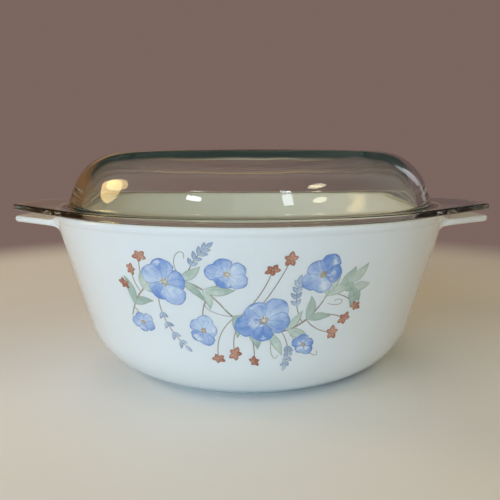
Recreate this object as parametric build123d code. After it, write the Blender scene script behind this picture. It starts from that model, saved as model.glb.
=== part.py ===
from build123d import *
import math
import os

# A covered casserole dish in two pieces: a pressed opal-glass dish with two side lugs, and a
# clear pressed-glass lid whose flange rests on the rim and carries two lugs of its own.
# Sizes are in millimetres. The origin is the centre of the foot, on the plane it stands on,
# +Z is up and +X runs from lug to lug.

# Dish bowl
rim_radius = 115.0  # where the wall's outside would reach the rim's top
rim_height = 91.0
wall_lean = 15.7  # degrees from upright
wall_thickness = 5.4  # square to the wall
belly_radius = 35.0  # outer curve from the wall down to the foot
floor_thickness = 5.3
inner_belly_radius = 30.0
rim_outer_round = 1.6
rim_inner_round = 1.2

# Foot ring
foot_radius = 72.0
foot_width = 5.0
foot_recess = 1.2  # how far the base inside the ring stands clear
foot_round = 0.8

# Dish lugs
lug_reach = 24.8  # beyond the rim
lug_thickness = 3.4
lug_drop = 3.6  # from the rim's top down to the lug's top
lug_tip_width = 39.0
lug_flank_angle = 38.5  # degrees from the lug's own centre line
lug_tip_round = 9.0
lug_root_round = 16.0
lug_edge_round = 1.5
lug_joint_round = 2.2  # hollow curve where the lug meets the wall

# Lid dome
lid_rise = 33.0  # from the rim's top to the lid's flat top
lid_lean = 20.4  # degrees from upright, outside
lid_inner_lean = 14.3  # degrees from upright, so that the wall thins upwards
lid_corner_radius = 28.8
lid_top_wall = 4.5
lid_root_wall = 7.3  # at the foot of the dome, measured level
dome_set_in = 0.7  # from the skirt's outside to the foot of the dome
dome_root_round = 2.0

# Lid flange, its skirt and its lugs
flange_overhang = 0.0  # beyond the dish's rim
flange_thickness = 3.3
flange_edge_round = 0.8
skirt_depth = 2.5  # the ring below the flange that keeps the lid from sliding off
skirt_round = 0.8
lid_lug_reach = 24.2  # beyond the flange
lid_lug_tip_width = 43.0
lid_lug_tip_round = 9.0

# Clearances
seat_gap = 0.1  # between the rim's top and the flange
skirt_clearance = 1.4  # between the skirt and the inside of the rim

# Places that follow from the sizes above
wall_run = math.tan(math.radians(wall_lean))  # how far the wall moves out for each millimetre up
lid_run = math.tan(math.radians(lid_lean))
lid_inner_run = math.tan(math.radians(lid_inner_lean))
rim_inner_radius = rim_radius - wall_thickness / math.cos(math.radians(wall_lean))
inner_floor = foot_recess + floor_thickness
lug_top = rim_height - lug_drop
lug_bottom = lug_top - lug_thickness
flange_radius = rim_radius + flange_overhang
flange_bottom = rim_height + seat_gap
flange_top = flange_bottom + flange_thickness
skirt_radius = rim_inner_radius - skirt_clearance
skirt_bottom = rim_height - skirt_depth
dome_radius = skirt_radius - dome_set_in
dome_inner_radius = dome_radius - lid_root_wall
lid_top = rim_height + lid_rise
lid_inner_top = lid_top - lid_top_wall
lid_inner_corner_radius = lid_corner_radius - lid_top_wall

small = 0.01  # how closely an edge is matched to a height or a radius


def turned(corners):
    """A solid of revolution from corners of (radius, height, rounding radius)."""
    points = [(radius, height) for radius, height, _ in corners]
    section = make_face(Polyline(*points, close=True))
    for radius, height, rounding in corners:
        if rounding > 0:
            corner = section.vertices().sort_by_distance((radius, height, 0))[0]
            section = fillet(corner, rounding)
    return revolve(Plane.XZ * section, axis=Axis.Z)


def wall_radius(height):
    """The radius of the dish's outer wall at one height."""
    return rim_radius - (rim_height - height) * wall_run


def inner_wall_radius(height):
    """The radius of the dish's inner wall at one height."""
    return rim_inner_radius - (rim_height - height) * wall_run


def dome_at(height):
    """The radius of the dome's outer side at one height."""
    return dome_radius - (height - flange_top) * lid_run


def dome_inside_at(height):
    """The radius of the dome's inner side at one height."""
    return dome_inner_radius - (height - flange_top) * lid_inner_run


def lug_plate(disc_radius, tip_radius, tip_width, flank_angle, tip_round, root_round, thickness):
    """A level plate: a disc with a lug at each end of X, with rounded tips and hollow roots."""
    angle = math.radians(flank_angle)
    tip_y = tip_width / 2
    # Each flank runs in to its nearest point to the disc's centre, which is inside the disc.
    nearest = tip_radius * math.sin(angle) + tip_y * math.cos(angle)
    root_x = nearest * math.sin(angle)
    root_y = nearest * math.cos(angle)
    plan = Sketch() + Circle(disc_radius)
    for side in (1, -1):
        lug = Polyline(
            (side * root_x, root_y),
            (side * tip_radius, tip_y),
            (side * tip_radius, -tip_y),
            (side * root_x, -root_y),
            close=True,
        )
        plan += make_face(lug)
    tips = plan.vertices().filter_by(lambda v: abs(v.X) > tip_radius - 0.01)
    plan = fillet(tips, tip_round)
    roots = plan.vertices().filter_by(
        lambda v: abs(math.hypot(v.X, v.Y) - disc_radius) < 0.01 and abs(v.Y) > tip_y
    )
    plan = fillet(roots, root_round)
    return extrude(plan, amount=thickness)


def tangent_lug_plate(disc_radius, tip_radius, tip_width, tip_round, thickness):
    """A level plate: a disc with a lug at each end of X, whose flanks leave the disc along its tangents."""
    tip_y = tip_width / 2
    touch = math.atan2(tip_y, tip_radius) + math.acos(disc_radius / math.hypot(tip_radius, tip_y))
    touch_x = disc_radius * math.cos(touch)
    touch_y = disc_radius * math.sin(touch)
    outline = [
        ThreePointArc((touch_x, touch_y), (0, disc_radius), (-touch_x, touch_y)),
        Polyline(
            (-touch_x, touch_y),
            (-tip_radius, tip_y),
            (-tip_radius, -tip_y),
            (-touch_x, -touch_y),
        ),
        ThreePointArc((-touch_x, -touch_y), (0, -disc_radius), (touch_x, -touch_y)),
        Polyline(
            (touch_x, -touch_y),
            (tip_radius, -tip_y),
            (tip_radius, tip_y),
            (touch_x, touch_y),
        ),
    ]
    plan = make_face(outline)
    tips = plan.vertices().filter_by(lambda v: abs(v.X) > tip_radius - 0.01)
    plan = fillet(tips, tip_round)
    return extrude(plan, amount=thickness)


def level_edges(solid, height_low, height_high, radius_low, radius_high):
    """The edges of a solid that lie between two heights and between two radii."""
    found = []
    for edge in solid.edges():
        box = edge.bounding_box()
        radii = [math.hypot(point.X, point.Y) for point in (edge @ 0, edge @ 0.5, edge @ 1)]
        inside = box.min.Z > height_low and box.max.Z < height_high
        if inside and min(radii) > radius_low and max(radii) < radius_high:
            found.append(edge)
    return found


def rounded_plate(plate, edge_round):
    """A level plate with its top and bottom outlines rounded."""
    outlines = plate.edges().filter_by(lambda edge: edge.bounding_box().size.Z < small)
    return fillet(outlines, edge_round)


def make_dish():
    """The bowl with its foot ring, and the two lugs that stand out of the wall below the rim."""
    foot_inner = foot_radius - foot_width
    bowl = turned(
        [
            (0, 0, 0),
            (wall_radius(0), 0, belly_radius),
            (rim_radius, rim_height, rim_outer_round),
            (0, rim_height, 0),
        ]
    )
    foot = turned(
        [
            (foot_inner, 0, foot_round),
            (foot_radius, 0, foot_round),
            (foot_radius, inner_floor, 0),
            (foot_inner, inner_floor, 0),
        ]
    )
    recess = turned(
        [
            (0, 0, 0),
            (foot_inner, 0, 0),
            (foot_inner, foot_recess, 0),
            (0, foot_recess, 0),
        ]
    )
    cavity = turned(
        [
            (0, inner_floor, 0),
            (inner_wall_radius(inner_floor), inner_floor, inner_belly_radius),
            (rim_inner_radius, rim_height, 0),
            (0, rim_height, 0),
        ]
    )
    # The lug plate's disc ends inside the wall, so that only the lugs show.
    plate_radius = (wall_radius(lug_bottom) + inner_wall_radius(lug_bottom)) / 2
    plate = lug_plate(
        plate_radius,
        rim_radius + lug_reach,
        lug_tip_width,
        lug_flank_angle,
        lug_tip_round,
        lug_root_round,
        lug_thickness,
    )
    plate = Pos(0, 0, lug_bottom) * rounded_plate(plate, lug_edge_round)
    solid = bowl - recess + foot + plate
    joints = level_edges(
        solid, lug_bottom - small, lug_top + small, plate_radius + small, wall_radius(lug_top) + small
    )
    solid = fillet(joints, lug_joint_round)
    dish = solid - cavity
    rim_inner = level_edges(
        dish,
        rim_height - small,
        rim_height + small,
        rim_inner_radius - small,
        rim_inner_radius + small,
    )
    return fillet(rim_inner, rim_inner_round)


def make_lid():
    """The dome with its flat top, its flange and lugs, and the skirt that drops inside the rim."""
    flange_middle = (flange_bottom + flange_top) / 2
    dome = turned(
        [
            (0, flange_middle, 0),
            (dome_at(flange_middle), flange_middle, 0),
            (dome_at(lid_top), lid_top, lid_corner_radius),
            (0, lid_top, 0),
        ]
    )
    skirt = turned(
        [
            (0, skirt_bottom, 0),
            (skirt_radius, skirt_bottom, skirt_round),
            (skirt_radius, flange_middle, 0),
            (0, flange_middle, 0),
        ]
    )
    hollow = turned(
        [
            (0, skirt_bottom, 0),
            (dome_inside_at(skirt_bottom), skirt_bottom, 0),
            (dome_inside_at(lid_inner_top), lid_inner_top, lid_inner_corner_radius),
            (0, lid_inner_top, 0),
        ]
    )
    flange = tangent_lug_plate(
        flange_radius,
        flange_radius + lid_lug_reach,
        lid_lug_tip_width,
        lid_lug_tip_round,
        flange_thickness,
    )
    flange = Pos(0, 0, flange_bottom) * rounded_plate(flange, flange_edge_round)
    solid = flange + skirt + dome
    dome_root = level_edges(
        solid, flange_top - small, flange_top + small, dome_radius - small, dome_radius + small
    )
    solid = fillet(dome_root, dome_root_round)
    return solid - hollow


os.makedirs("parts", exist_ok=True)
for name, piece in (("dish", make_dish()), ("lid", make_lid())):
    export_step(piece, f"parts/{name}.step")
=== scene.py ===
import math

import bpy
import numpy as np
from mathutils import Matrix, Vector


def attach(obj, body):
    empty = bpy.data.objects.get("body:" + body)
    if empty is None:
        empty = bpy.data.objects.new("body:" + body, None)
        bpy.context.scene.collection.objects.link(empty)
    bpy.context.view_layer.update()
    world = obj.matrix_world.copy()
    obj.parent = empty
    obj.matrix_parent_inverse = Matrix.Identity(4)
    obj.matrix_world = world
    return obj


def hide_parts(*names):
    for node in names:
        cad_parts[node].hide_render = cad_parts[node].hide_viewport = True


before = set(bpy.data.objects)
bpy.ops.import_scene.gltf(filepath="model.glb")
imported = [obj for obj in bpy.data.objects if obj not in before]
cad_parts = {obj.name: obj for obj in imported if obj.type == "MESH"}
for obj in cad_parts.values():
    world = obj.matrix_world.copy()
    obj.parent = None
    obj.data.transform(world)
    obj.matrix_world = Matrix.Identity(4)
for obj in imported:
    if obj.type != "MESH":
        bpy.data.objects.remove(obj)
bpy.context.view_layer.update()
print("frame loaded:", sorted(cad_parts))

mm = 0.001


# Maths on whole arrays

def smoothStep(value, low, high):
    # 0 below low, 1 above high, and the cubic 3s^2 - 2s^3 between them
    s = np.clip((value - low) / (high - low), 0, 1)
    return s * s * (3 - 2 * s)


def roundedCorner(before, corner, after, rounding, count):
    # A circle's arc from the edge before-corner to the edge corner-after: the conic whose ends
    # lie rounding * tan(half the turn) from the corner and whose weight is cos(half the turn)
    before, corner, after = (np.asarray(p, float) for p in (before, corner, after))
    toBefore = (before - corner) / np.linalg.norm(before - corner)
    toAfter = (after - corner) / np.linalg.norm(after - corner)
    halfTurn = (math.pi - math.acos(float(np.dot(toBefore, toAfter)))) / 2
    reach, weight = rounding * math.tan(halfTurn), math.cos(halfTurn)
    t = np.linspace(0, 1, count)[:, None]
    parts = (1 - t) ** 2, 2 * t * (1 - t) * weight, t ** 2
    total = parts[0] + parts[1] + parts[2]
    return (parts[0] * (corner + toBefore * reach) + parts[1] * corner
            + parts[2] * (corner + toAfter * reach)) / total


def circleArc(centre, radius, start, end, count):
    # Points centre + radius * (cos a, sin a), with a in degrees from start to end
    a = np.radians(np.linspace(start, end, count))
    return np.stack([centre[0] + radius * np.cos(a), centre[1] + radius * np.sin(a)], -1)


def straight(start, end, count):
    # Points spread evenly between two places, both ends left out
    t = np.linspace(0, 1, count + 2)[1:-1, None]
    return np.asarray(start) * (1 - t) + np.asarray(end) * t


def bulging(start, end, count, bulge):
    # Points between two places, both ends left out, on the parabola start + (end - start) t
    # + 4 bulge t (1 - t), which stands out to the right
    t = np.linspace(0, 1, count + 2)[1:-1, None]
    along = np.subtract(end, start)
    out = np.array([along[1], -along[0]]) / np.hypot(*along)
    return straight(start, end, count) + out * 4 * bulge * t * (1 - t)


def ripples(points, seed, size, pitch, count=9, spread=(0.7, 1.6)):
    # A sum of plane sine waves through space, of about the given size, and of pitches that spread
    # round the given one
    pick = np.random.default_rng(seed)
    ways = pick.normal(size=(count, 3))
    pitches = pitch * pick.uniform(*spread, count)
    ways *= 2 * math.pi / (np.linalg.norm(ways, axis=1) * pitches)[:, None]
    phases = pick.uniform(0, 2 * math.pi, count)
    return np.sin(points @ ways.T + phases).sum(-1) * size / math.sqrt(count / 2)


def around(radius, angle, height):
    # Places (r cos a, r sin a, z) round the upright axis
    return np.stack(np.broadcast_arrays(radius * np.cos(angle), radius * np.sin(angle), height), -1)


def everyAngle(points, angle):
    # The same section points (radius, height) at each angle
    return np.broadcast_to(np.asarray(points, float)[:, None], (len(points), len(angle), 2))


# Meshes from grids

def closedGrid(name, grid, attributes=None, sharp=None):
    # A closed skin for each shape in grid, an array of (shape, row, column, xyz): the columns
    # run round, and the first and last rows are single points that close the two ends
    shapes, rows, columns, _ = grid.shape
    ring = (rows - 2) * columns
    base = np.arange(shapes)[:, None, None] * (ring + 2)
    firstPole, lastPole = base[:, :, 0], base[:, :, 0] + ring + 1
    index = base + 1 + np.arange(ring).reshape(rows - 2, columns)
    after = np.roll(index, -1, axis=2)
    quads = np.stack([index[:, :-1], after[:, :-1], after[:, 1:], index[:, 1:]], -1).reshape(-1, 4)
    firstFan = np.stack([np.broadcast_to(firstPole, index[:, 0].shape), after[:, 0], index[:, 0]], -1)
    lastFan = np.stack([np.broadcast_to(lastPole, index[:, -1].shape), index[:, -1], after[:, -1]], -1)
    fans = np.concatenate([firstFan.reshape(-1, 3), lastFan.reshape(-1, 3)])

    def flat(values):
        inner = values[:, 1:-1].reshape(shapes, ring, -1)
        ends = [values[:, row, 0].reshape(shapes, 1, -1) for row in (0, -1)]
        return np.concatenate([ends[0], inner, ends[1]], 1).reshape(shapes * (ring + 2), -1)

    corners = np.concatenate([quads.ravel(), fans.ravel()])
    sizes = np.concatenate([np.full(len(quads), 4), np.full(len(fans), 3)])
    starts = np.concatenate([[0], np.cumsum(sizes)[:-1]])
    mesh = bpy.data.meshes.new(name)
    mesh.vertices.add(shapes * (ring + 2))
    mesh.vertices.foreach_set("co", (flat(grid) * mm).astype(np.float32).ravel())
    mesh.loops.add(len(corners))
    mesh.loops.foreach_set("vertex_index", corners.astype(np.int32))
    mesh.polygons.add(len(sizes))
    mesh.polygons.foreach_set("loop_start", starts.astype(np.int32))
    mesh.update(calc_edges=True)
    mesh.polygons.foreach_set("use_smooth", np.ones(len(sizes), bool))
    for key, values in (attributes or {}).items():
        layer = mesh.attributes.new(key, "FLOAT", "POINT")
        spread = flat(np.broadcast_to(values, grid.shape[:3])[..., None])
        layer.data.foreach_set("value", spread.astype(np.float32).ravel())
    if sharp:
        mesh.set_sharp_from_angle(angle=math.radians(sharp))
    mesh.validate()
    piece = bpy.data.objects.new(name, mesh)
    bpy.context.scene.collection.objects.link(piece)
    return piece


def sectionAngles(fine, coarse, lugSpan):
    # Angles round the axis in radians: steps of fine degrees within lugSpan of a lug's middle, and
    # coarse ones elsewhere
    near = np.arange(-lugSpan, lugSpan, fine)
    far = np.arange(lugSpan, 180 - lugSpan, coarse)
    return np.radians(np.concatenate([near, far, near + 180, far + 180]))


def plateReach(angle, plate, inset=0.0):
    # How far a disc with two lugs reaches at each angle, all of it drawn in by inset. In polar form
    # a straight edge is d / cos(a - n), and an arc is c cos(a - m) +- sqrt(r^2 - c^2 sin^2(a - m))
    a = np.arctan2(np.abs(np.sin(angle)), np.abs(np.cos(angle)))
    disc, tip = plate["disc"] - inset, plate["tip"] - inset
    flank = math.radians(plate["flank"])
    tipY = plate["tipWidth"] / 2
    lean = math.pi / 2 - flank  # the direction of the flank's normal
    nearest = plate["tip"] * math.sin(flank) + tipY * math.cos(flank) - inset
    tipRound, rootRound = plate["tipRound"] - inset, plate["rootRound"] + inset
    out = np.array([math.sin(flank), math.cos(flank)])
    along = np.array([math.cos(flank), -math.sin(flank)])
    # The hollow root touches the disc and the flank
    rootAlong = math.sqrt(max((disc + rootRound) ** 2 - (nearest + rootRound) ** 2, 0))
    root = out * (nearest + rootRound) + along * rootAlong
    rootStart = math.atan2(*(out * nearest + along * rootAlong)[::-1])
    rootEnd = math.atan2(root[1], root[0])
    # The rounded tip touches the flank and the lug's end
    tipCentre = np.array([tip - tipRound, (nearest - tipRound - (tip - tipRound) * out[0]) / out[1]])
    tipStart = math.atan2(tipCentre[1], tip)
    tipEnd = math.atan2(*(tipCentre + out * tipRound)[::-1])

    def arc(centre, radius, side):
        distance, heading = math.hypot(*centre), math.atan2(centre[1], centre[0])
        under = radius ** 2 - (distance * np.sin(a - heading)) ** 2
        return distance * np.cos(a - heading) + side * np.sqrt(np.maximum(under, 0))

    return np.select(
        [a < tipStart, a < tipEnd, a < rootStart, a < rootEnd],
        [tip / np.cos(a), arc(tipCentre, tipRound, 1), nearest / np.cos(a - lean),
         arc(root, rootRound, -1)],
        np.full_like(a, disc))


def edgeLayers(low, high, rounding, count):
    # (inset, height) round a level plate's edge, from its underside to its top
    turn = np.radians(np.linspace(-90, 0, count))
    lower = np.stack([rounding * (1 - np.cos(turn)), low + rounding * (1 + np.sin(turn))], -1)
    upper = np.stack([lower[::-1, 0], high + low - lower[::-1, 1]], -1)
    return np.concatenate([lower, upper])


# The opal dish

dishSizes = dict(
    rimRadius=115.0, rimHeight=91.0, wallLean=15.7, wallThickness=5.4,
    bellyRadius=35.0, innerBellyRadius=30.0, innerFloor=6.5,
    footRadius=72.0, footInner=67.0, recess=1.2, footRound=0.8, footInnerRound=0.72, recessRound=0.4,
    rimOuterRound=1.6, rimInnerRound=1.2,
    lugLow=84.0, lugHigh=87.4, lugEdgeRound=1.5, lugJointRound=2.2,
    bandLow=80.0,  # where the band that carries the lugs starts
    bandLap=0.3,  # how far below its start the band's plain form is drawn from
    ledgeReach=(112.6, 117.5),  # how far the lugs' plate reaches where the ledge grows out of the wall
    leastLedge=0.3,  # the narrowest ledge drawn
    steps=(0.42, 1.15, 34),  # degrees: near a lug, elsewhere, and how far a lug's half spans
    waviness=0.03, wavePitch=32.0, waveSeed=11, wavesRise=(4, 20), wavesEnd=(78, 84),
)
dishLug = dict(disc=110.45, tip=139.8, tipWidth=39.0, flank=38.5, tipRound=9.0, rootRound=16.0)
farOut = 200.0  # a radius past every piece, for the heading of a level edge

wallRun = math.tan(math.radians(dishSizes["wallLean"]))
wallCos = math.cos(math.radians(dishSizes["wallLean"]))
bellyCentre = (dishSizes["rimRadius"] - (dishSizes["rimHeight"] - dishSizes["bellyRadius"]) * wallRun
               - dishSizes["bellyRadius"] / wallCos, dishSizes["bellyRadius"])


def wallRadius(height):
    return dishSizes["rimRadius"] - (dishSizes["rimHeight"] - height) * wallRun


def dishWaves(points):
    # The slight unevenness that pressing leaves, gone at the foot and the rim
    d = dishSizes
    height = points[..., 2]
    fade = smoothStep(height, *d["wavesRise"]) * (1 - smoothStep(height, *d["wavesEnd"]))
    return ripples(points, d["waveSeed"], d["waviness"], d["wavePitch"]) * fade


def dishProfile(angle):
    # The closed section at each angle, from under the foot, up the outside, over the rim and down
    # the inside to the floor: an array of (profile point, angle, (radius, height)), with 1 for each
    # of its points that lies on the outside of the belly or the wall
    d = dishSizes
    lean = d["wallLean"]
    innerRim = d["rimRadius"] - d["wallThickness"] / wallCos
    bellyStart = math.degrees(math.acos((d["footRadius"] - bellyCentre[0]) / d["bellyRadius"]))
    bellyFoot = circleArc(bellyCentre, d["bellyRadius"], -bellyStart, -lean, 2)[0]
    recess, recessEdge = (0, d["recess"]), (d["footInner"], d["recess"])
    footIn, footOut = (d["footInner"], 0), (d["footRadius"], 0)
    short = 1  # the foot's flats end this far short of its corners
    foot = np.concatenate([
        [recess],
        straight(recess, (d["footInner"] - short, d["recess"]), 6),
        roundedCorner(recess, recessEdge, footIn, d["recessRound"], 4),
        roundedCorner(recessEdge, footIn, (farOut, 0), d["footInnerRound"], 5),
        straight((d["footInner"] + short, 0), (d["footRadius"] - short, 0), 2),
        roundedCorner((0, 0), footOut, (d["footRadius"], d["recess"]), d["footRound"], 6),
        [bellyFoot]])
    belly = circleArc(bellyCentre, d["bellyRadius"], -bellyStart, -lean, 26)[1:]
    bandLow = d["bandLow"]
    wall = straight(belly[-1], (wallRadius(bandLow), bandLow), 12)

    # The band that carries the lugs, first as a ledge, then as a plain wall and rim
    rimReach = d["rimOuterRound"] * math.tan(math.radians((90 + lean) / 2))
    rimCentre = (d["rimRadius"] - rimReach, d["rimHeight"] - d["rimOuterRound"])
    layers = edgeLayers(d["lugLow"], d["lugHigh"], d["lugEdgeRound"], 6)
    jointRise = d["lugHigh"] + d["lugJointRound"] - rimCentre[1]
    jointOut = math.sqrt((d["rimOuterRound"] + d["lugJointRound"]) ** 2 - jointRise ** 2)
    jointTurn = math.degrees(math.atan2(jointRise, jointOut))
    jointCentre = (rimCentre[0] + jointOut, d["lugHigh"] + d["lugJointRound"])
    lowJoint = roundedCorner((wallRadius(0), 0), (wallRadius(d["lugLow"]), d["lugLow"]),
                             (farOut, d["lugLow"]), d["lugJointRound"], 7)
    highJoint = circleArc(jointCentre, d["lugJointRound"], -90, -180 + jointTurn, 7)
    rimOver = circleArc(rimCentre, d["rimOuterRound"], jointTurn, 90, 7)
    reach = np.stack([plateReach(angle, dishLug, inset) for inset in layers[:, 0]])
    reach = np.maximum(reach, highJoint[0, 0] + d["leastLedge"])
    flat = np.linspace(0, 1, 7)[1:-1, None]
    under = lowJoint[-1, 0] * (1 - flat) + reach[0] * flat
    over = reach[-1] * (1 - flat) + highJoint[0, 0] * flat

    def level(radii, heights):
        return np.stack([radii, np.broadcast_to(np.reshape(heights, (-1, 1)), radii.shape)], -1)

    ledge = np.concatenate([
        everyAngle([(wallRadius(bandLow), bandLow)], angle),
        everyAngle(lowJoint, angle),
        level(under, np.full(len(flat), d["lugLow"])),
        level(reach, layers[:, 1]),
        level(over, np.full(len(flat), d["lugHigh"])),
        everyAngle(highJoint, angle),
        everyAngle(rimOver, angle)])
    rimStart = circleArc(rimCentre, d["rimOuterRound"], -lean, 90, 12)
    plainLow = bandLow - d["bandLap"]
    plain = np.concatenate([
        straight((wallRadius(plainLow), plainLow), rimStart[0], len(ledge) - len(rimStart)), rimStart])
    grown = smoothStep(plateReach(angle, dishLug, layers[0, 0]), *d["ledgeReach"])[None, :, None]
    band = everyAngle(plain, angle) * (1 - grown) + ledge * grown

    rimInner, floorMiddle = (innerRim, d["rimHeight"]), (0, d["innerFloor"])
    innerFoot = (innerRim - (d["rimHeight"] - d["innerFloor"]) * wallRun, d["innerFloor"])
    inside = roundedCorner((0, d["rimHeight"]), rimInner, innerFoot, d["rimInnerRound"], 7)
    innerBelly = roundedCorner(rimInner, innerFoot, floorMiddle, d["innerBellyRadius"], 24)
    inner = np.concatenate([
        inside, straight(inside[-1], innerBelly[0], 12), innerBelly,
        straight(innerBelly[-1], floorMiddle, 8), [floorMiddle]])
    parts = [everyAngle(part, angle) for part in (foot, belly, wall)]
    section = np.concatenate([*parts, band, everyAngle(inner, angle)])
    outside = np.zeros((len(section), 1))
    outside[len(foot):len(foot) + len(belly) + len(wall) + 1] = 1
    return section, outside


def makeDish():
    # The section turned about the upright axis, with the outside's radius made slightly wavy
    angle = sectionAngles(*dishSizes["steps"])
    section, outside = dishProfile(angle)
    radius, height = section[..., 0].copy(), section[..., 1]
    radius += dishWaves(around(radius, angle, height)) * outside
    return closedGrid("opal_dish", around(radius, angle, height)[None])


# The enamel print: marks laid out in millimetres on the wall, across from the front and up from the foot

printPlan = dict(
    seed=8,
    spread=100.0,  # the radius at which a millimetre across is a millimetre round the wall
    underside=0.02, edgeRound=0.3,  # how deep a mark sits in the glass, and how blunt its edge is
    vine=[((-56, 47), (-43, 75), (-22, 74), (-9, 55)), ((-9, 55), (4, 38), (24, 38), (34, 58)),
          ((34, 58), (38, 67), (47, 69), (49, 60))],
    # Blossoms by (across, up, reach, turn)
    blossoms=[(-34, 67, 12.5, 0.2), (8, 49, 13.5, 0.9), (-7, 72, 9.5, 0.5), (32, 71, 10.5, 1.1),
              (-19, 43, 8.5, 0.0), (-50, 44, 7.0, 0.7), (27, 35, 6.5, 0.3)],
    petals=dict(count=5, start=0.08, bow=0.02, width=0.43, lift=0.060, step=0.008),
    seeds=dict(count=7, start=0.28, ring=0.19, width=0.42, lift=0.125),
    tilt=dict(turn=2.3, share=0.26),  # how blossoms are foreshortened
    # Tips reached from a place (curve, t) on the vine by a stem that bows aside: (curve, t, across, up, bow)
    stars=[(0, 0.20, -50, 72, 0.10), (0, 0.14, -56, 64, 0.12), (0, 0.26, -44, 79, 0.08),
           (1, 0.16, -5, 31, -0.12), (1, 0.22, 4, 27, 0.08), (1, 0.10, -13, 28, -0.16),
           (1, 0.86, 46, 47, 0.10), (1, 0.80, 41, 40, -0.14), (2, 0.15, 51, 53, 0.12),
           (1, 0.12, 11, 74, -0.10), (1, 0.20, 18, 79, -0.06)],
    points=dict(count=5, start=0.06, bow=0.0, width=0.30, lift=0.055, step=0.006,
                reach=3.3, sizes=4, sizeStep=0.3, turn=0.4),
    buds=[(0, 0.66, -15, 84, 0.10), (0, 0.42, -29, 34, -0.20), (1, 0.55, 19, 25, 0.14),
          (1, 0.76, 22, 67, 0.12)],
    budPairs=dict(at=[0.46, 0.62, 0.78, 0.92], turn=(0.5, 0.8), reach=(3.2, 4.8), bow=0.06, tip=4.6,
                  width=0.98, lift=0.050),
    stalks=[(1, 0.66, 27, 37, 0.10), (0, 0.86, -18, 44, -0.14), (0, 0.88, -7, 71, 0.12),
            (0, 0.06, -51, 45, 0.2)],
    tendrils=[((-27, 71), (-32, 81), (-22, 86), (-24, 79)), ((36, 56), (46, 52), (44, 60), (39, 57)),
              ((-6, 51), (-18, 52), (-20, 59), (-14, 58)), ((20, 41), (31, 27), (37, 26), (34, 31)),
              ((12, 40), (10, 31), (14, 25), (15, 30))],
    stemWidths=dict(vine=0.42, stars=0.24, buds=0.24, stalks=0.28, tendrils=0.16), stemLift=0.035,
    leafPairs=dict(at=[0.08, 0.24, 0.42, 0.60, 0.80], turn=(0.55, 0.95), reach=(9.0, 15.5),
                   bow=(0.05, 0.16), width=(1.8, 2.6), lift=0.045),
)
# How blunt a kind of mark is, how far its widest place lies from its base, its ruffles, and its grid
markShapes = dict(
    stems=dict(blunt=0.12, swell=1.0, ruffle=0.0, rows=44, columns=8),
    leaves=dict(blunt=1.05, swell=0.85, ruffle=0.0, rows=30, columns=16),
    blossoms=dict(blunt=0.72, swell=1.35, ruffle=0.05, rows=34, columns=28),
    hearts=dict(blunt=0.5, swell=1.0, ruffle=0.0, rows=12, columns=8),
    buds=dict(blunt=0.8, swell=0.9, ruffle=0.0, rows=20, columns=12),
    stars=dict(blunt=0.85, swell=0.95, ruffle=0.0, rows=18, columns=12),
)
# Ruffles are waves along a mark's sides and over its tip, which is notched in its middle
ruffles = dict(side=26, tip=11, sidePhase=40, tipPhase=30, tipDepth=0.45, notch=0.10, notchRound=1.6,
               notchBack=0.6, reach=5, taper=0.3)


def bezier(controls, t):
    # Cubic curves through control points (curve, 4, 2): the places and unit headings at each t
    controls, t = np.asarray(controls, float), np.asarray(t, float)
    s = 1 - t
    weights = np.stack([s ** 3, 3 * s ** 2 * t, 3 * s * t ** 2, t ** 3])
    slopes = np.stack([-3 * s ** 2, 3 * s ** 2 - 6 * s * t, 6 * s * t - 3 * t ** 2, 3 * t ** 2])
    places = np.einsum("ncx,ct->ntx", controls, weights)
    headings = np.einsum("ncx,ct->ntx", controls, slopes)
    return places, headings / np.maximum(np.linalg.norm(headings, axis=-1, keepdims=True), 1e-9)


def bowed(base, tip, bow):
    # Control points of a curve from base to tip that bows aside by a share of its length
    base, tip = np.asarray(base, float), np.asarray(tip, float)
    along = tip - base
    aside = np.stack([-along[..., 1], along[..., 0]], -1) * np.asarray(bow)[..., None]
    return np.stack([base, base + along / 3 + aside, base + along * 2 / 3 + aside, tip], -2)


def onWall(across, up, lift):
    # A place on the dish's outside: round the axis by across / spread, and up along the belly's arc
    # and then the wall's straight side, and out from it by lift
    d = dishSizes
    lean = math.radians(d["wallLean"])
    joinHeight = d["bellyRadius"] * (1 - math.sin(lean))
    run = up - joinHeight
    slant = np.minimum(run, 0) / d["bellyRadius"] - lean
    radius = bellyCentre[0] + (d["bellyRadius"] + lift) * np.cos(slant) + np.maximum(run, 0) * math.sin(lean)
    height = bellyCentre[1] + (d["bellyRadius"] + lift) * np.sin(slant) + np.maximum(run, 0) * math.cos(lean)
    angle = across / printPlan["spread"] - math.pi / 2
    radius = radius + dishWaves(around(radius, angle, height))
    return around(radius, angle, height)


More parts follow.
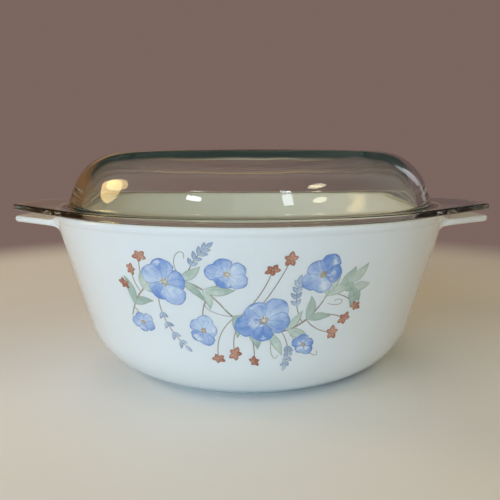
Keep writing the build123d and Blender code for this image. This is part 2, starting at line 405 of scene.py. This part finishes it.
def makeMarks(kind, curves, width, lift, tint):
    # Each mark is a flat bead along its curve, half its width being width sin(pi t^swell)^blunt. Round
    # it goes cos across and |sin|^edgeRound out. Ruffles are sine waves of the width and of the tip
    p, shape = printPlan, markShapes[kind]
    curves = np.asarray(curves, float)
    width, lift, tint = (
        np.broadcast_to(value, len(curves))[:, None, None] for value in (width, lift, tint))
    t = (1 - np.cos(np.linspace(0, math.pi, shape["rows"]))) / 2
    places, headings = bezier(curves, t)
    length = np.linalg.norm(np.diff(places, axis=1), axis=-1).sum(1)[:, None, None]
    t = t[None, :, None]
    swollen = np.sin(math.pi * t ** shape["swell"])
    r, ruffle = ruffles, shape["ruffle"]
    half = width * swollen ** shape["blunt"]
    half = half * (1 + ruffle * np.sin(r["side"] * t + r["sidePhase"] * tint) * t)
    turn = np.linspace(0, 2 * math.pi, shape["columns"], endpoint=False)
    aside = np.cos(turn) + 0 * half
    rise = np.where(np.sin(turn) > 0, lift, p["underside"] * np.ones_like(lift)) * np.sign(np.sin(turn))
    rise = rise * np.abs(np.sin(turn)) ** p["edgeRound"]
    tip = r["notch"] * (np.abs(aside) ** r["notchRound"] - r["notchBack"])
    tip = tip + ruffle * r["tipDepth"] * np.sin(r["tip"] * aside + r["tipPhase"] * tint)
    back = length * tip * t ** r["reach"] * swollen ** r["taper"] * (ruffle > 0)
    sideways = np.stack([-headings[..., 1], headings[..., 0]], -1)
    flat = (places[:, :, None] + sideways[:, :, None] * (aside * half)[..., None]
            + headings[:, :, None] * back[..., None])
    rim = np.minimum(half * (1 - np.abs(aside)), np.minimum(t, 1 - t) * length)
    front = onWall(flat[..., 0], flat[..., 1], rise)
    grid = np.concatenate([front, front * (-1, -1, 1)])  # and once more on the back, half a turn round
    read = dict(along=t + 0 * aside, across=aside, rim=rim, tint=tint + 0 * aside)
    read = {key: np.tile(value, (2, 1, 1)) for key, value in read.items()}
    return closedGrid("print_" + kind, grid, read, sharp=30)


def petalCurves(blossoms, count, start, bow):
    # Petals from start, a share of the blossom's reach, out to its reach, spread evenly round it. Each
    # blossom is foreshortened a little along a heading of its own
    tiltTurn, share = printPlan["tilt"]["turn"], printPlan["tilt"]["share"]
    curves, reaches = [], []
    for across, up, reach, turn in blossoms:
        angles = turn + np.arange(count) * 2 * math.pi / count
        ways = np.stack([np.cos(angles), np.sin(angles)], -1)
        tilt = np.array([math.cos(turn * tiltTurn), math.sin(turn * tiltTurn)])
        ways = ways - share * (ways @ tilt)[:, None] * tilt
        centre = np.array([across, up])
        curves.append(bowed(centre + ways * reach * start, centre + ways * reach, np.full(count, bow)))
        reaches.append(np.full(count, reach))
    return np.concatenate(curves), np.concatenate(reaches)


def turnedWays(ways, angle):
    # Unit headings in the plane, each turned by its angle
    c, s = np.cos(angle), np.sin(angle)
    return np.stack([ways[:, 0] * c - ways[:, 1] * s, ways[:, 0] * s + ways[:, 1] * c], -1)


def makePrint():
    # The vine with its stems, leaflets, blossoms, buds and stars, as one piece for each kind of mark
    p = printPlan
    pick = np.random.default_rng(p["seed"])
    vine = np.asarray(p["vine"], float)

    def shades(curves):
        return pick.uniform(0, 1, len(curves))

    def fromVine(tips):
        # Bowed stems from places on the vine to their tips
        base = np.stack([bezier(vine[int(curve)][None], [t])[0][0, 0] for curve, t, *_ in tips])
        tips = np.asarray(tips, float)
        return bowed(base, tips[:, 2:4], tips[:, 4])

    def layered(kind, curves):
        # Each mark of a blossom or star lies a little higher than the last, so that none shares a surface
        return kind["lift"] + kind["step"] * (np.arange(len(curves)) % kind["count"])

    # Stems of several widths
    stems = {key: fromVine(p[key]) for key in ("stars", "buds", "stalks")}
    budStems = stems["buds"]
    stems = dict(vine=vine, **stems, tendrils=np.asarray(p["tendrils"], float))
    widths = np.concatenate([np.full(len(curves), p["stemWidths"][key]) for key, curves in stems.items()])
    stems = np.concatenate(list(stems.values()))
    pieces = dict(stems=makeMarks("stems", stems, widths, p["stemLift"], shades(stems)))

    # Leaflets in pairs along the vine
    pair = p["leafPairs"]
    places, headings = (values.reshape(-1, 2) for values in bezier(vine, pair["at"]))
    leaves = []
    for side in (1, -1):
        ways = turnedWays(headings, side * pick.uniform(*pair["turn"], len(places)))
        reach = pick.uniform(*pair["reach"], len(places))[:, None]
        bow = -side * pick.uniform(*pair["bow"], len(places))
        leaves.append(bowed(places, places + ways * reach, bow))
    leaves = np.concatenate(leaves)
    widths = pick.uniform(*pair["width"], len(leaves))
    pieces["leaves"] = makeMarks("leaves", leaves, widths, pair["lift"], shades(leaves))

    # Blossoms of five broad petals, each with a ring of small seeds
    kind = p["petals"]
    petals, reach = petalCurves(p["blossoms"], kind["count"], kind["start"], kind["bow"])
    pieces["blossoms"] = makeMarks("blossoms", petals, reach * kind["width"], layered(kind, petals),
                                   shades(petals))
    kind = p["seeds"]
    rings = [(across, up, reach * kind["ring"], turn) for across, up, reach, turn in p["blossoms"]]
    seeds = petalCurves(rings, kind["count"], kind["start"], 0.0)[0]
    pieces["hearts"] = makeMarks("hearts", seeds, kind["width"], kind["lift"], shades(seeds))

    # Small buds in pairs up each of their stems, and one at its tip
    pair = p["budPairs"]
    places, headings = (values.reshape(-1, 2) for values in bezier(budStems, pair["at"]))
    buds = []
    for side in (1, -1):
        ways = turnedWays(headings, side * pick.uniform(*pair["turn"], len(places)))
        reach = pick.uniform(*pair["reach"], len(places))[:, None]
        buds.append(bowed(places, places + ways * reach, np.full(len(places), -pair["bow"] * side)))
    tips, ways = (values[:, 0] for values in bezier(budStems, [1.0]))
    buds = np.concatenate([*buds, bowed(tips, tips + ways * pair["tip"], np.zeros(len(tips)))])
    pieces["buds"] = makeMarks("buds", buds, pair["width"], pair["lift"], shades(buds))

    # Rust stars at the tips of theirs
    kind = p["points"]
    stars = [(across, up, kind["reach"] + kind["sizeStep"] * (number % kind["sizes"]), kind["turn"] * number)
             for number, (_, _, across, up, _) in enumerate(p["stars"])]
    points, reach = petalCurves(stars, kind["count"], kind["start"], kind["bow"])
    pieces["stars"] = makeMarks("stars", points, reach * kind["width"], layered(kind, points),
                                shades(points))
    return pieces


# The clear lid

lidSizes = dict(
    flangeLow=91.1, flangeHigh=94.4, flangeEdgeRound=0.8,
    skirtRadius=107.99, skirtLow=88.5, skirtRound=0.8,
    domeRadius=107.29, domeInnerRadius=99.99, lean=20.4, innerLean=14.3, rootRound=2.0,
    top=124.0, innerTop=119.5, cornerRadius=28.8, innerCornerRadius=24.3,
    lipRound=0.5, insetRound=0.4,
    steps=(0.5, 1.0, 34),  # degrees: near a lug, elsewhere, and how far a lug's half spans
    sideBulge=0.12,
    innerWaves=(3, 0.022, 24.0), outerWaves=(5, 0.008, 30.0),  # seed, size and pitch
    calmMiddle=6.0,  # the radius within which the waves fade out
)
lidLug = dict(disc=115.0, tip=139.2, tipWidth=43.0, tipRound=9.0, rootRound=10.0)
# The flanks of the lid's lugs are tangents of the flange
lidTip = (lidLug["tip"], lidLug["tipWidth"] / 2)
lidTouch = math.atan2(lidTip[1], lidTip[0]) + math.acos(lidLug["disc"] / math.hypot(*lidTip))
lidLug["flank"] = 90 - math.degrees(lidTouch)


def makeLid():
    # The section runs from the middle of the dome's inside, down to the skirt, out under the
    # flange, round its edge and up over the dome to the middle of its top
    s = lidSizes
    angle = sectionAngles(*s["steps"])

    def domeAt(radius, lean, height):
        return radius - (height - s["flangeHigh"]) * math.tan(math.radians(lean))

    innerMiddle = (0, s["innerTop"])
    innerCorner = (domeAt(s["domeInnerRadius"], s["innerLean"], s["innerTop"]), s["innerTop"])
    innerFoot = (domeAt(s["domeInnerRadius"], s["innerLean"], s["skirtLow"]), s["skirtLow"])
    innerArc = roundedCorner(innerMiddle, innerCorner, innerFoot, s["innerCornerRadius"], 26)
    lip = roundedCorner(innerCorner, innerFoot, (farOut, s["skirtLow"]), s["lipRound"], 5)
    skirtFoot, skirtTop = (s["skirtRadius"], s["skirtLow"]), (s["skirtRadius"], s["flangeLow"])
    skirt = roundedCorner((0, s["skirtLow"]), skirtFoot, skirtTop, s["skirtRound"], 6)
    inset = roundedCorner(skirtFoot, skirtTop, (farOut, s["flangeLow"]), s["insetRound"], 4)
    inner = np.concatenate([
        [innerMiddle], straight(innerMiddle, innerArc[0], 10), innerArc,
        bulging(innerArc[-1], lip[0], 14, -s["sideBulge"]), lip, skirt, inset])

    layers = edgeLayers(s["flangeLow"], s["flangeHigh"], s["flangeEdgeRound"], 7)
    reach = np.stack([plateReach(angle, lidLug, row) for row in layers[:, 0]])
    edge = np.stack([reach, np.broadcast_to(layers[:, 1:], reach.shape)], -1)
    root, middle = (s["domeRadius"], s["flangeHigh"]), (0, s["top"])
    outerCorner = (domeAt(s["domeRadius"], s["lean"], s["top"]), s["top"])
    rootArc = roundedCorner((farOut, root[1]), root, outerCorner, s["rootRound"], 8)
    cornerArc = roundedCorner(root, outerCorner, middle, s["cornerRadius"], 30)
    spread = np.linspace(0, 1, 8)[1:-1, None]

    def across(start, radii, height):
        # Level points from one radius to another that changes with the angle
        radii = start * (1 - spread) + radii * spread
        return np.stack([radii, np.full(radii.shape, height)], -1)

    under = across(inset[-1, 0], reach[0], s["flangeLow"])
    over = across(rootArc[0, 0], reach[-1], s["flangeHigh"])[::-1]
    outer = np.concatenate([
        rootArc, bulging(rootArc[-1], cornerArc[0], 14, s["sideBulge"]), cornerArc,
        straight(cornerArc[-1], middle, 10), [middle]])
    section = np.concatenate([everyAngle(inner, angle), under, edge, over, everyAngle(outer, angle)])
    radius, height = section[..., 0].copy(), section[..., 1].copy()

    # Pressing leaves both sides of the dome slightly wavy, which bends what is seen through it
    row = np.arange(len(section))[:, None]
    isInner = row <= len(inner) - len(lip) - len(skirt) - len(inset)
    isOuter = row > len(section) - len(outer) + len(rootArc)
    points = around(radius, angle, height)
    push = ripples(points, *s["innerWaves"]) * isInner + ripples(points, *s["outerWaves"]) * isOuter
    push = push * smoothStep(radius, 0, s["calmMiddle"])
    slope = np.gradient(section, axis=0)
    slope /= np.maximum(np.linalg.norm(slope, axis=-1, keepdims=True), 1e-9)
    radius += push * slope[..., 1]
    height -= push * slope[..., 0]
    height = np.minimum(height, s["top"])
    return closedGrid("glass_lid", around(radius, angle, height)[None])


# Finishes

class Signal:
    # One output socket; + - * on it add the Math nodes of an expression
    def __init__(self, finish, socket):
        self.finish, self.socket = finish, socket

    def math(self, operation, *values, clamp=False):
        settings = dict(operation=operation, use_clamp=clamp)
        return self.finish.node("ShaderNodeMath", settings, dict(enumerate(values)))

    def __add__(self, other):
        return self.math("ADD", self, other)

    def __radd__(self, other):
        return self.math("ADD", other, self)

    def __sub__(self, other):
        return self.math("SUBTRACT", self, other)

    def __rsub__(self, other):
        return self.math("SUBTRACT", other, self)

    def __mul__(self, other):
        return self.math("MULTIPLY", self, other)

    def __rmul__(self, other):
        return self.math("MULTIPLY", other, self)

    def clamped(self):
        return self.math("ADD", self, 0.0, clamp=True)

    def larger(self, other):
        return self.math("MAXIMUM", self, other)

    def sine(self):
        return self.math("SINE", self)

    def rise(self, low, high):
        # 0 at low and 1 at high, smooth between them
        return self.finish.node("ShaderNodeMapRange", dict(interpolation_type="SMOOTHSTEP"),
                                {"Value": self, "From Min": low, "From Max": high})


class Finish:
    # The node tree of one material or of the world
    def __init__(self, owner):
        owner.use_nodes = True
        self.tree = owner.node_tree
        self.tree.nodes.clear()

    def node(self, kind, settings=None, inputs=None, output=0):
        # A node of one type: its settings first, then its sockets' values or links
        made = self.tree.nodes.new(kind)
        for name, value in (settings or {}).items():
            setattr(made, name, value)
        for name, value in (inputs or {}).items():
            socket = made.inputs[name]
            if isinstance(value, Signal):
                self.tree.links.new(value.socket, socket)
            elif isinstance(value, tuple):
                opaque = (1.0,) * (len(socket.default_value) - len(value))
                socket.default_value = value + opaque
            else:
                socket.default_value = value
        return Signal(self, made.outputs[output]) if made.outputs else None

    def mix(self, amount, first, second):
        return self.node("ShaderNodeMix", dict(data_type="RGBA"), {0: amount, 6: first, 7: second}, 2)

    def place(self):
        return self.node("ShaderNodeTexCoord", output="Object")

    def part(self, vector, axis):
        return self.node("ShaderNodeSeparateXYZ", None, {0: vector}, axis)

    def noise(self, scale, detail, roughness):
        return self.node("ShaderNodeTexNoise", None, {
            "Vector": self.place(), "Scale": scale, "Detail": detail, "Roughness": roughness}, "Fac")

    def read(self, name):
        return self.node("ShaderNodeAttribute", dict(attribute_name=name), output="Fac")

    def bump(self, height, distance, strength, **under):
        return self.node("ShaderNodeBump", None, {
            "Height": height, "Distance": distance, "Strength": strength, **under})

    def principled(self, inputs):
        return self.node("ShaderNodeBsdfPrincipled", None, inputs)

    def surface(self, shader, **more):
        self.node("ShaderNodeOutputMaterial", None, {"Surface": shader, **more})


def newFinish(name):
    material = bpy.data.materials.new(name)
    return material, Finish(material)


# Noises are (scale, detail, roughness)
opalGlass = dict(
    colour=(0.86, 0.89, 0.90), shade=(0.80, 0.84, 0.85), shadeFrom=0.35, shadeShare=1.1,
    # The next colour, with its height and share, paints a bluish glow low down that stands in for light
    # shining through the opal glass at the foot
    paintedGlow=(0.70, 0.85, 0.98), paintedGlowHeight=(0.001, 0.020), paintedGlowShare=0.45,
    worn=(0.66, 0.67, 0.65), wornHeight=(0.0002, 0.0016), wornPatches=(0.42, 0.60), wornRoughness=0.35,
    collar=(0.0866, 0.0882), collarStep=0.00025,
    cloud=(22.0, 3.0, 0.55), fine=(420.0, 2.0, 0.5), scuffs=(260.0, 4.0, 0.7),
    roughness=0.10, fineRoughness=0.05, cloudRoughness=0.04, ior=1.5,
    cloudRelief=0.6, fineRelief=0.02, reliefDepth=0.0002, reliefStrength=0.5,
    glow=0.25, glowReach=0.006,
)


def makeOpalFinish():
    # Glossy white glass: faint clouds, a painted bluish glow low down that stands in for light shining
    # through the glass near the foot, a foot scuffed grey where it stands, and a faint step round below the
    # rim
    material, f = newFinish("opal glass")
    o = opalGlass
    cloud, fine, scuffs = (f.noise(*o[key]) for key in ("cloud", "fine", "scuffs"))
    height = f.part(f.place(), "Z")
    scuffed = (1 - height.rise(*o["wornHeight"])) * scuffs.rise(*o["wornPatches"])
    colour = f.mix((cloud - o["shadeFrom"]) * o["shadeShare"], o["colour"], o["shade"])
    # Painted glow: bluer towards the foot, standing in for light shining through the glass there
    colour = f.mix((1 - height.rise(*o["paintedGlowHeight"])) * o["paintedGlowShare"], colour, o["paintedGlow"])
    colour = f.mix(scuffed, colour, o["worn"])
    roughness = (o["roughness"] + (fine - 0.5) * o["fineRoughness"] + (cloud - 0.5) * o["cloudRoughness"]
                 + scuffed * o["wornRoughness"])
    step = f.bump(height.rise(*o["collar"]), o["collarStep"], 1.0)
    relief = cloud * o["cloudRelief"] + fine * o["fineRelief"]
    normal = f.bump(relief, o["reliefDepth"], o["reliefStrength"], Normal=step)
    f.surface(f.principled({
        "Base Color": colour, "Roughness": roughness, "Normal": normal, "IOR": o["ior"],
        "Subsurface Weight": o["glow"], "Subsurface Radius": (1.0, 1.0, 1.0),
        "Subsurface Scale": o["glowReach"]}))
    return material


# Each enamel's wash runs from pale to deep; veins is how closely they lie across a mark, with 0 for
# none, and bare is how much of the glass shows through
enamel = dict(
    stems=dict(pale=(0.56, 0.51, 0.40), deep=(0.34, 0.26, 0.19), line=(0.32, 0.24, 0.18), veins=0, bare=0.0),
    leaves=dict(pale=(0.69, 0.75, 0.66), deep=(0.36, 0.48, 0.41), line=(0.34, 0.31, 0.22), veins=5, bare=0.3),
    blossoms=dict(pale=(0.63, 0.73, 0.88), deep=(0.16, 0.30, 0.66), line=(0.36, 0.33, 0.38), veins=9,
                  bare=0.75),
    hearts=dict(pale=(0.78, 0.68, 0.42), deep=(0.50, 0.30, 0.12), line=(0.40, 0.26, 0.16), veins=0, bare=0.0),
    buds=dict(pale=(0.58, 0.66, 0.76), deep=(0.28, 0.36, 0.52), line=(0.30, 0.31, 0.36), veins=3, bare=0.5),
    stars=dict(pale=(0.72, 0.40, 0.28), deep=(0.36, 0.12, 0.07), line=(0.30, 0.13, 0.08), veins=4, bare=0.3),
)
enamelWash = dict(
    wash=(95.0, 4.0, 0.6), patch=(170.0, 3.0, 0.55), grain=(900.0, 2.0, 0.6),
    depth=0.34, deepening=0.5, deepFrom=0.35, washShare=2.2, tintShare=0.45, grainShare=0.25,
    veinRise=(0.5, 1.0), veinShare=0.32, veinFade=0.8, veinWander=6.0,
    pool=(0.1, 0.9), poolShare=0.34, bareRise=(0.52, 0.70), bareEdge=(0.4, 1.4),
    lineWidth=(0.07, 0.20), lineShare=0.5, lineWash=0.4,
    roughness=0.20, grainRoughness=0.10, ior=1.5,
    grainRelief=0.3, washRelief=0.5, reliefDepth=0.00005, reliefStrength=0.6,
)


def makeEnamelFinish(name):
    # Fired watercolour: a wash that deepens along each mark, fine veins, pooled pigment, a thin line
    # round it, and patches where the glass shows through the wash
    material, f = newFinish("enamel " + name)
    e, w = enamel[name], enamelWash
    along, across, rim, tint = (f.read(key) for key in ("along", "across", "rim", "tint"))
    wash, patch, grain = (f.noise(*w[key]) for key in ("wash", "patch", "grain"))
    depth = ((along - w["deepFrom"]) * w["deepening"] + (wash - 0.5) * w["washShare"]
             + (tint - 0.5) * w["tintShare"] + w["depth"])
    if e["veins"]:
        vein = (across * e["veins"] + (wash - 0.5) * w["veinWander"]).sine().rise(*w["veinRise"])
        depth = depth + vein * (1 - along * w["veinFade"]) * w["veinShare"]
    pooled = (1 - rim.rise(*w["pool"])) * w["poolShare"]
    deep = (depth + pooled + (grain - 0.5) * w["grainShare"]).clamped()
    colour = f.mix(deep, e["pale"], e["deep"])
    bare = patch.rise(*w["bareRise"]) * rim.rise(*w["bareEdge"]) * e["bare"]
    colour = f.mix(bare.clamped(), colour, opalGlass["colour"])
    line = (1 - rim.rise(*w["lineWidth"])) * (w["lineShare"] + wash * w["lineWash"])
    colour = f.mix(line.clamped(), colour, e["line"])
    relief = grain * w["grainRelief"] + wash * w["washRelief"]
    f.surface(f.principled({
        "Base Color": colour, "Roughness": w["roughness"] + (grain - 0.5) * w["grainRoughness"],
        "IOR": w["ior"], "Normal": f.bump(relief, w["reliefDepth"], w["reliefStrength"])}))
    return material


clearGlass = dict(
    tint=(1.0, 1.0, 1.0), ior=1.5, depthColour=(0.68, 0.78, 0.75), depth=15.0,
    shadow=(0.92, 0.87, 0.78),  # what light keeps on its way through to the dish
    smear=(60.0, 3.0, 0.5), smearRise=(0.55, 0.80), smearRoughness=0.03,
)


def makeClearFinish():
    # Clear glass that is greener where it is thick, with smears a little less glossy. Shadow rays go
    # straight through it
    material, f = newFinish("clear pressed glass")
    g = clearGlass
    smear = f.noise(*g["smear"]).rise(*g["smearRise"])
    glass = f.principled({
        "Base Color": g["tint"], "Roughness": smear * g["smearRoughness"], "IOR": g["ior"],
        "Transmission Weight": 1.0})
    through = f.node("ShaderNodeBsdfTransparent", None, {"Color": g["shadow"]})
    shadow = f.node("ShaderNodeLightPath", output="Is Shadow Ray")
    mixed = f.node("ShaderNodeMixShader", None, {0: shadow, 1: glass, 2: through})
    volume = f.node("ShaderNodeVolumeAbsorption", None, {"Color": g["depthColour"], "Density": g["depth"]})
    f.surface(mixed, Volume=volume)
    return material


dish = makeDish()
dish.data.materials.append(makeOpalFinish())
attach(dish, "dish")
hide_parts("dish")
print("dish:", len(dish.data.polygons), "faces")

for name, piece in makePrint().items():
    piece.data.materials.append(makeEnamelFinish(name))
    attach(piece, "dish")
    print("print:", name, len(piece.data.polygons), "faces")

lid = makeLid()
lid.data.materials.append(makeClearFinish())
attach(lid, "lid")
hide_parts("lid")
print("lid:", len(lid.data.polygons), "faces")


# The studio: a pale floor, a plain warm-grey surround, soft lamps and the camera

studio = dict(
    floorColour=(0.88, 0.85, 0.80), floorRoughness=0.45, floorGloss=0.3, floorRadius=0.62,
    floorHub=0.05, floorRings=24, floorColumns=96, floorFade=(0.40, 0.60),
    surround=(0.20, 0.132, 0.116), ambient=(1.0, 0.92, 0.85), ambientLevel=0.06,
    # What gloss and glass mirror, by the heading's share across (X) and up (Z)
    leftSide=(0.19, 0.10, 0.045), leftEdge=(-0.55, -0.30),
    rightSide=(0.145, 0.10, 0.092), rightEdge=(-0.05, 0.30),
    ceiling=(0.010, 0.024, 0.023), ceilingEdge=(0.20, 0.28),
    strip=(0.42, 0.27, 0.12), stripLow=(0.15, 0.20), stripHigh=(0.21, 0.26),
    stripStart=(-0.50, -0.40), stripEnd=(0.05, 0.20),
    # Only the lamps marked mirrored show in gloss and glass
    lamps=[
        dict(name="window", place=(-0.75, -0.75, 0.60), aim=(0, 0, 0.06), size=(0.8, 0.8), power=3.35,
             colour=(1.0, 0.89, 0.89)),
        dict(name="front", place=(-0.28, -1.03, 0.35), aim=(0, 0, 0.06), size=(0.7, 0.5), power=6.05,
             colour=(0.51, 0.79, 1.0)),
        dict(name="warm right", place=(0.85, -0.60, 0.45), aim=(0, 0, 0.06), size=(0.7, 0.7), power=0.45,
             colour=(1.0, 0.30, 0.03)),
        dict(name="warm above", place=(0.60, -0.20, 0.85), aim=(-0.02, 0, 0.07), size=(0.4, 0.4), power=0.85,
             colour=(1.0, 0.78, 0.12)),
        dict(name="warm side", place=(-0.85, 0.08, 0.48), aim=(0, 0, 0.06), size=(0.30, 0.24), power=1.25,
             colour=(1.0, 0.72, 0.30), shape="ELLIPSE", mirrored=True),
        dict(name="overhead", place=(0.0, 0.15, 1.10), aim=(0, 0, 0), size=(0.9, 0.9), power=1.5,
             colour=(1.0, 0.60, 0.22)),
        dict(name="behind", place=(-0.3, 1.15, 0.55), aim=(0, 0, 0.05), size=(0.8, 0.6), power=3.6,
             colour=(1.0, 0.94, 0.86)),
        dict(name="window pane", place=(-0.333, -0.518, 0.493), aim=(-0.022, -0.101, 0.102),
             size=(0.10, 0.028), power=0.17, colour=(0.86, 0.95, 1.0), mirrored=True),
        dict(name="second pane", place=(0.250, -0.563, 0.496), aim=(0.018, -0.103, 0.100),
             size=(0.065, 0.08), power=0.18, colour=(0.82, 0.94, 1.0), mirrored=True),
        dict(name="warm bulb", place=(0.443, -0.415, 0.601), aim=(0.032, -0.097, 0.107),
             size=(0.14, 0.08), power=0.26, colour=(1.0, 0.92, 0.62), shape="ELLIPSE", mirrored=True),
        dict(name="second bulb", place=(0.432, -0.459, 0.466), aim=(0.032, -0.099, 0.102),
             size=(0.10, 0.035), power=0.09, colour=(1.0, 0.94, 0.70), shape="ELLIPSE", mirrored=True),
        dict(name="pale doorway", place=(0.576, 0.552, 0.288), aim=(0.086, -0.054, 0.108),
             size=(0.07, 0.26), power=0.022, colour=(0.92, 0.95, 1.0), mirrored=True),
    ],
)
cameraView = dict(lens=38.88, sensor=36.0, nearest=0.01, farthest=20.0,
                  distance=0.336, height=0.1168, azimuth=1.2, pitch=8.97, roll=-0.18)


def makeFloor():
    # A disc as rings of points (r cos a, r sin a), which fades into the surround at its edge
    s = studio
    rings, columns = s["floorRings"], s["floorColumns"]
    radius = np.linspace(s["floorHub"], 1, rings)[:, None] * s["floorRadius"]
    angle = np.linspace(0, 2 * math.pi, columns, endpoint=False)[None]
    places = around(radius, angle, 0.0).reshape(-1, 3)
    index = np.arange(rings * columns).reshape(rings, columns)
    after = np.roll(index, -1, axis=1)
    quads = np.stack([index[:-1], index[1:], after[1:], after[:-1]], -1).reshape(-1, 4)
    mesh = bpy.data.meshes.new("floor")
    mesh.from_pydata(places.tolist(), [], quads.tolist() + [index[0].tolist()])
    floor = bpy.data.objects.new("floor", mesh)
    bpy.context.scene.collection.objects.link(floor)
    material, f = newFinish("floor")
    far = f.node("ShaderNodeVectorMath", dict(operation="LENGTH"), {0: f.place()}, "Value")
    matt = f.principled({
        "Base Color": s["floorColour"], "Roughness": s["floorRoughness"],
        "Specular IOR Level": s["floorGloss"]})
    faded = f.node("ShaderNodeEmission", None, {"Color": s["surround"]})
    f.surface(f.node("ShaderNodeMixShader", None, {0: far.rise(*s["floorFade"]), 1: matt, 2: faded}))
    mesh.materials.append(material)


def makeWorld():
    # The camera sees the plain surround, and matt surfaces an even light. Gloss and glass see sides
    # of three colours that darken upwards past a warm strip
    world = bpy.data.worlds.new("studio")
    bpy.context.scene.world = world
    f = Finish(world)
    s = studio
    way = f.node("ShaderNodeTexCoord", output="Generated")
    up, across = f.part(way, "Z"), f.part(way, "X")
    sides = f.mix(across.rise(*s["rightEdge"]), s["surround"], s["rightSide"])
    sides = f.mix(across.rise(*s["leftEdge"]), s["leftSide"], sides)
    strip = (up.rise(*s["stripLow"]) * (1 - up.rise(*s["stripHigh"]))
             * across.rise(*s["stripStart"]) * (1 - across.rise(*s["stripEnd"])))
    room = f.mix(strip, f.mix(up.rise(*s["ceilingEdge"]), sides, s["ceiling"]), s["strip"])
    seen, glossy, passed = (f.node("ShaderNodeLightPath", output=f"Is {kind} Ray")
                            for kind in ("Camera", "Glossy", "Transmission"))

    def backdrop(colour, strength=1.0):
        return f.node("ShaderNodeBackground", None, {"Color": colour, "Strength": strength})

    lit = f.node("ShaderNodeMixShader", None, {
        0: glossy.larger(passed), 1: backdrop(s["ambient"], s["ambientLevel"]), 2: backdrop(room)})
    f.node("ShaderNodeOutputWorld", None, {
        "Surface": f.node("ShaderNodeMixShader", None, {0: seen, 1: lit, 2: backdrop(s["surround"])})})


def makeLamps():
    # Area lamps, each turned from its place towards what it aims at
    for lamp in studio["lamps"]:
        data = bpy.data.lights.new(lamp["name"], "AREA")
        data.shape = lamp.get("shape", "RECTANGLE")
        data.size, data.size_y = lamp["size"]
        data.energy, data.color = lamp["power"], lamp["colour"]
        light = bpy.data.objects.new(lamp["name"], data)
        aim = np.subtract(lamp["aim"], lamp["place"])
        turn = Vector(aim).to_track_quat("-Z", "Y").to_matrix().to_4x4()
        light.matrix_world = Matrix.Translation(lamp["place"]) @ turn
        light.visible_glossy = lamp.get("mirrored", False)
        light.visible_transmission = lamp.get("mirrored", False)
        light.visible_camera = False
        bpy.context.scene.collection.objects.link(light)


def makeCamera():
    # In front of the dish at an azimuth from -Y, looking down by its pitch
    c = cameraView
    data = bpy.data.cameras.new("camera")
    data.lens, data.sensor_width = c["lens"], c["sensor"]
    data.clip_start, data.clip_end = c["nearest"], c["farthest"]
    camera = bpy.data.objects.new("camera", data)
    turn = math.radians(c["azimuth"])
    place = (c["distance"] * math.sin(turn), -c["distance"] * math.cos(turn), c["height"])
    camera.matrix_world = (
        Matrix.Translation(place) @ Matrix.Rotation(turn, 4, "Z")
        @ Matrix.Rotation(math.radians(90 - c["pitch"]), 4, "X")
        @ Matrix.Rotation(math.radians(c["roll"]), 4, "Z"))
    bpy.context.scene.collection.objects.link(camera)
    bpy.context.scene.camera = camera


makeFloor()
makeWorld()
makeLamps()
makeCamera()
scene = bpy.context.scene
scene.view_settings.view_transform = "Standard"
scene.cycles.max_bounces = 80
scene.cycles.transmission_bounces = 80
scene.cycles.glossy_bounces = 8
scene.cycles.transparent_max_bounces = 16
print("studio ready")
